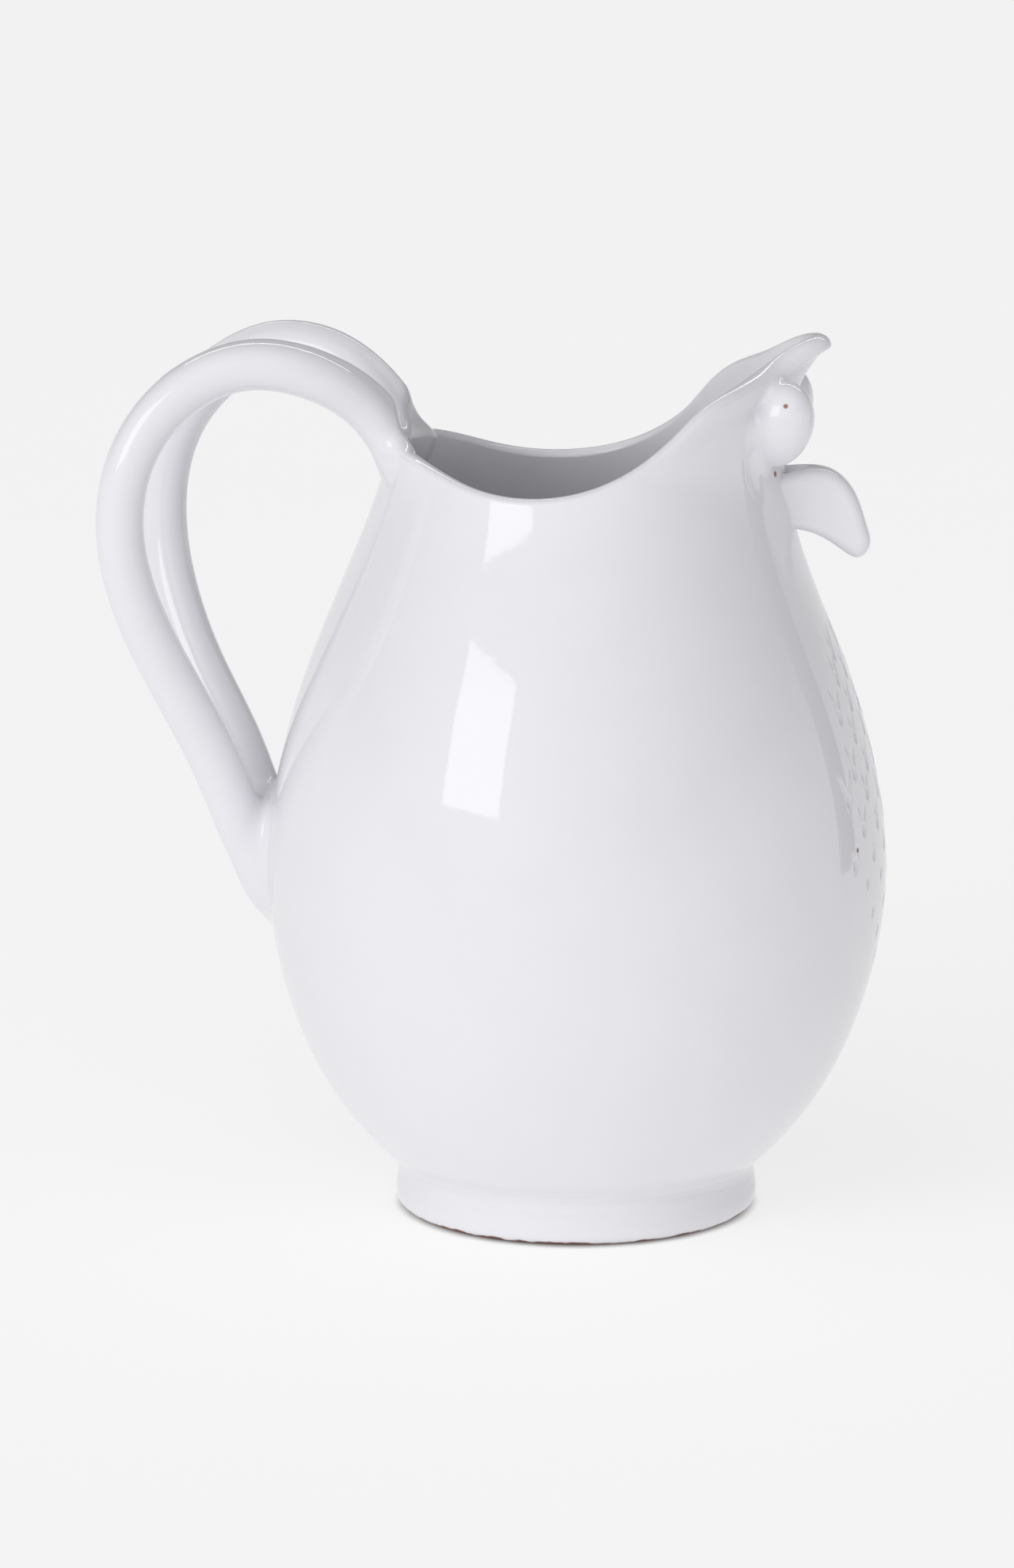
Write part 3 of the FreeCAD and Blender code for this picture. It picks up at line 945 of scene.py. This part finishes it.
def glaze_material():
    """White tin glaze over terracotta: glossy, faintly mottled, with a few pinholes and a bare line of
    clay where the foot meets the table, its clay colour darkened to paint the contact shade there too."""
    material = bpy.data.materials.new("tin_glaze")
    material.use_nodes = True
    tree = material.node_tree
    shader = tree.nodes["Principled BSDF"]
    links = tree.links
    place = tree.nodes.new("ShaderNodeTexCoord")
    pooled = node_of(tree, "ShaderNodeTexNoise", Scale=55.0, Detail=3.0, Roughness=0.55)
    links.new(place.outputs["Object"], pooled.inputs["Vector"])
    white = tree.nodes.new("ShaderNodeMix")
    white.data_type = "RGBA"
    white.inputs["A"].default_value = GLAZE_THIN
    white.inputs["B"].default_value = GLAZE_POOLED
    links.new(pooled.outputs["Fac"], white.inputs["Factor"])
    speck = pinhole_mask(tree, place)
    spotted = tree.nodes.new("ShaderNodeMix")
    spotted.data_type = "RGBA"
    spotted.inputs["B"].default_value = PINHOLE_CLAY
    links.new(white.outputs["Result"], spotted.inputs["A"])
    links.new(speck, spotted.inputs["Factor"])
    split = tree.nodes.new("ShaderNodeSeparateXYZ")
    links.new(place.outputs["Object"], split.inputs["Vector"])
    ragged = node_of(tree, "ShaderNodeTexNoise", Scale=160.0, Detail=2.0)
    links.new(place.outputs["Object"], ragged.inputs["Vector"])
    edge = tree.nodes.new("ShaderNodeMath")
    edge.operation = "MULTIPLY_ADD"
    edge.inputs[1].default_value = -BARE_HEIGHT
    links.new(ragged.outputs["Fac"], edge.inputs[0])
    links.new(split.outputs["Z"], edge.inputs[2])
    bare_and_painted_shade = tree.nodes.new("ShaderNodeMapRange")
    bare_and_painted_shade.inputs["From Min"].default_value = 0.0002
    bare_and_painted_shade.inputs["From Max"].default_value = -0.0003
    links.new(edge.outputs[0], bare_and_painted_shade.inputs["Value"])
    # Below the ragged glaze line the colour is bare clay, darkened so that it also paints the contact
    # shade under the foot.
    colour = tree.nodes.new("ShaderNodeMix")
    colour.data_type = "RGBA"
    colour.inputs["B"].default_value = BARE_CLAY_AND_CONTACT_SHADE
    links.new(spotted.outputs["Result"], colour.inputs["A"])
    links.new(bare_and_painted_shade.outputs["Result"], colour.inputs["Factor"])
    links.new(colour.outputs["Result"], shader.inputs["Base Color"])
    gloss = tree.nodes.new("ShaderNodeMapRange")
    gloss.inputs["To Min"].default_value = GLAZE_ROUGHNESS
    gloss.inputs["To Max"].default_value = BARE_ROUGHNESS
    links.new(bare_and_painted_shade.outputs["Result"], gloss.inputs["Value"])
    links.new(gloss.outputs["Result"], shader.inputs["Roughness"])
    peel = node_of(tree, "ShaderNodeTexNoise", Scale=210.0, Detail=2.0, Roughness=0.5)
    links.new(place.outputs["Object"], peel.inputs["Vector"])
    wave = node_of(tree, "ShaderNodeBump", Strength=0.05, Distance=0.0004)
    links.new(peel.outputs["Fac"], wave.inputs["Height"])
    pit = node_of(tree, "ShaderNodeBump", Strength=0.6, Distance=0.0004)
    pit.invert = True
    links.new(speck, pit.inputs["Height"])
    links.new(wave.outputs["Normal"], pit.inputs["Normal"])
    links.new(pit.outputs["Normal"], shader.inputs["Normal"])
    shader.inputs["IOR"].default_value = GLAZE_IOR
    return material


def floor_material():
    """Seamless pale paper that glows evenly, with a painted contact shadow in a thin ring under the foot
    and a faint painted soft shadow spreading round it.
    """
    material = bpy.data.materials.new("pale_paper")
    material.use_nodes = True
    tree = material.node_tree
    shader = tree.nodes["Principled BSDF"]
    place = tree.nodes.new("ShaderNodeTexCoord")
    grain = node_of(tree, "ShaderNodeTexNoise", Scale=3.0, Detail=2.0)
    tree.links.new(place.outputs["Object"], grain.inputs["Vector"])
    tone = tree.nodes.new("ShaderNodeMix")
    tone.data_type = "RGBA"
    tone.inputs["A"].default_value = PAPER_LOW
    tone.inputs["B"].default_value = PAPER_HIGH
    tree.links.new(grain.outputs["Fac"], tone.inputs["Factor"])
    tree.links.new(tone.outputs["Result"], shader.inputs["Base Color"])
    shader.inputs["Roughness"].default_value = 1.0
    shader.inputs["Specular IOR Level"].default_value = 0.0
    shader.inputs["Emission Color"].default_value = (1.0, 1.0, 1.0, 1.0)
    distance = tree.nodes.new("ShaderNodeVectorMath")
    distance.operation = "LENGTH"
    tree.links.new(place.outputs["Object"], distance.inputs[0])
    # Painted contact shadow: the floor's glow drops to 0.15 under the foot's edge and comes back just
    # outside it.
    painted_contact_shadow = tree.nodes.new("ShaderNodeMapRange")
    painted_contact_shadow.interpolation_type = "SMOOTHSTEP"
    painted_contact_shadow.inputs["From Min"].default_value = 0.0475
    painted_contact_shadow.inputs["From Max"].default_value = 0.0535
    painted_contact_shadow.inputs["To Min"].default_value = 0.15
    painted_contact_shadow.inputs["To Max"].default_value = 0.97
    tree.links.new(distance.outputs["Value"], painted_contact_shadow.inputs["Value"])
    # Painted soft shadow: the last bit of the glow fades in slowly, out to 170 mm from the foot's middle.
    painted_soft_shadow = tree.nodes.new("ShaderNodeMapRange")
    painted_soft_shadow.interpolation_type = "SMOOTHSTEP"
    painted_soft_shadow.inputs["From Min"].default_value = 0.05
    painted_soft_shadow.inputs["From Max"].default_value = 0.17
    painted_soft_shadow.inputs["To Min"].default_value = 0.0
    painted_soft_shadow.inputs["To Max"].default_value = 0.03
    tree.links.new(distance.outputs["Value"], painted_soft_shadow.inputs["Value"])
    # The glow level is the sum of both painted shadow ramps.
    glow = tree.nodes.new("ShaderNodeMath")
    glow.operation = "ADD"
    tree.links.new(painted_contact_shadow.outputs["Result"], glow.inputs[0])
    tree.links.new(painted_soft_shadow.outputs["Result"], glow.inputs[1])
    level = tree.nodes.new("ShaderNodeMath")
    level.operation = "MULTIPLY"
    level.inputs[1].default_value = FLOOR_GLOW
    tree.links.new(glow.outputs[0], level.inputs[0])
    tree.links.new(level.outputs[0], shader.inputs["Emission Strength"])
    return material


# ---------------------------------------------------------------- studio

def add_floor():
    """A very large pale floor that fills the view behind the pitcher."""
    count = 9
    builder = bmesh.new()
    bmesh.ops.create_grid(builder, x_segments=count, y_segments=count, size=FLOOR_HALF)
    mesh = bpy.data.meshes.new("studio_floor")
    builder.to_mesh(mesh)
    builder.free()
    mesh.materials.append(floor_material())
    floor = bpy.data.objects.new("studio_floor", mesh)
    bpy.context.scene.collection.objects.link(floor)


def add_world():
    """Soft light from a broad bright side of the room, fading to dim round the back, with
    a lit band all along the horizon."""
    world = bpy.data.worlds.new("studio_air")
    world.use_nodes = True
    tree = world.node_tree
    background = tree.nodes["Background"]
    background.inputs["Color"].default_value = (1.0, 1.0, 1.0, 1.0)
    place = tree.nodes.new("ShaderNodeTexCoord")
    facing = tree.nodes.new("ShaderNodeVectorMath")
    facing.operation = "DOT_PRODUCT"
    facing.inputs[1].default_value = LIGHT_FROM
    tree.links.new(place.outputs["Generated"], facing.inputs[0])
    front = tree.nodes.new("ShaderNodeMath")
    front.operation = "MAXIMUM"
    front.inputs[1].default_value = 0.0
    tree.links.new(facing.outputs["Value"], front.inputs[0])
    square = tree.nodes.new("ShaderNodeMath")
    square.operation = "POWER"
    square.inputs[1].default_value = 2.0
    tree.links.new(front.outputs[0], square.inputs[0])
    strength = tree.nodes.new("ShaderNodeMath")
    strength.operation = "MULTIPLY_ADD"
    strength.inputs[1].default_value = ROOM_BRIGHT
    strength.inputs[2].default_value = ROOM_DIM
    tree.links.new(square.outputs[0], strength.inputs[0])
    split = tree.nodes.new("ShaderNodeSeparateXYZ")
    tree.links.new(place.outputs["Generated"], split.inputs["Vector"])
    horizon = tree.nodes.new("ShaderNodeMapRange")
    horizon.interpolation_type = "SMOOTHSTEP"
    horizon.inputs["From Min"].default_value = 0.0
    horizon.inputs["From Max"].default_value = HORIZON_FADE
    horizon.inputs["To Min"].default_value = HORIZON_GLOW
    horizon.inputs["To Max"].default_value = 0.0
    tree.links.new(split.outputs["Z"], horizon.inputs["Value"])
    brighter = tree.nodes.new("ShaderNodeMath")
    brighter.operation = "MAXIMUM"
    tree.links.new(strength.outputs[0], brighter.inputs[0])
    tree.links.new(horizon.outputs["Result"], brighter.inputs[1])
    tree.links.new(brighter.outputs[0], background.inputs["Strength"])
    bpy.context.scene.world = world


def add_panel(name, place, target, width, height, power, diffuse=True):
    """A flat softbox aimed at a point; without diffuse it shows only as a reflection."""
    light = bpy.data.lights.new(name, "AREA")
    light.shape = "RECTANGLE"
    light.size = width
    light.size_y = height
    light.energy = power
    panel = bpy.data.objects.new(name, light)
    panel.location = place
    aim = Vector(target) - Vector(place)
    panel.rotation_euler = aim.to_track_quat("-Z", "Y").to_euler()
    panel.visible_diffuse = diffuse
    bpy.context.scene.collection.objects.link(panel)


def add_dark_strip():
    """A narrow dark board to the right, seen only in the glaze."""
    material = bpy.data.materials.new("dark_board")
    material.use_nodes = True
    shader = material.node_tree.nodes["Principled BSDF"]
    shader.inputs["Base Color"].default_value = BOARD_GREY
    shader.inputs["Roughness"].default_value = 1.0
    builder = bmesh.new()
    bmesh.ops.create_grid(builder, x_segments=1, y_segments=1, size=0.5)
    mesh = bpy.data.meshes.new("dark_board")
    builder.to_mesh(mesh)
    builder.free()
    mesh.materials.append(material)
    board = bpy.data.objects.new("dark_board", mesh)
    turn = math.radians(BOARD_ANGLE)
    board.location = (BOARD_DISTANCE * math.cos(turn), BOARD_DISTANCE * math.sin(turn), BOARD_Z)
    board.scale = (BOARD_WIDTH, BOARD_HEIGHT, 1.0)
    board.rotation_euler = (math.radians(90.0), 0.0, turn + math.radians(90.0))
    board.visible_camera = False
    board.visible_diffuse = False
    board.visible_shadow = False
    bpy.context.scene.collection.objects.link(board)


def add_camera():
    """A long lens in front of the near side, looking slightly down."""
    camera = bpy.data.cameras.new("camera")
    camera.sensor_fit = "VERTICAL"
    camera.sensor_height = CAMERA_SENSOR
    camera.lens = CAMERA_LENS
    camera.clip_end = 100.0
    holder = bpy.data.objects.new("camera", camera)
    holder.location = CAMERA_PLACE
    holder.rotation_euler = (math.radians(90.0 - CAMERA_DOWN), 0.0, math.radians(CAMERA_TURN))
    bpy.context.scene.collection.objects.link(holder)
    bpy.context.scene.camera = holder


def main():
    """The pitcher's nine pieces, the studio and the camera."""
    glaze = glaze_material()
    wall_pieces(glaze)
    foot_piece(glaze)
    handle_pieces(glaze)
    face_pieces(glaze)
    add_floor()
    add_world()
    add_panel("left_softbox", SOFTBOX_PLACE, SOFTBOX_TARGET, *SOFTBOX_SIZE, SOFTBOX_POWER)
    add_panel(
        "top_strip", TOP_STRIP_PLACE, TOP_STRIP_TARGET, *TOP_STRIP_SIZE, TOP_STRIP_POWER,
        diffuse=False,
    )
    add_dark_strip()
    add_camera()
    bpy.context.scene.view_settings.view_transform = "Standard"


main()
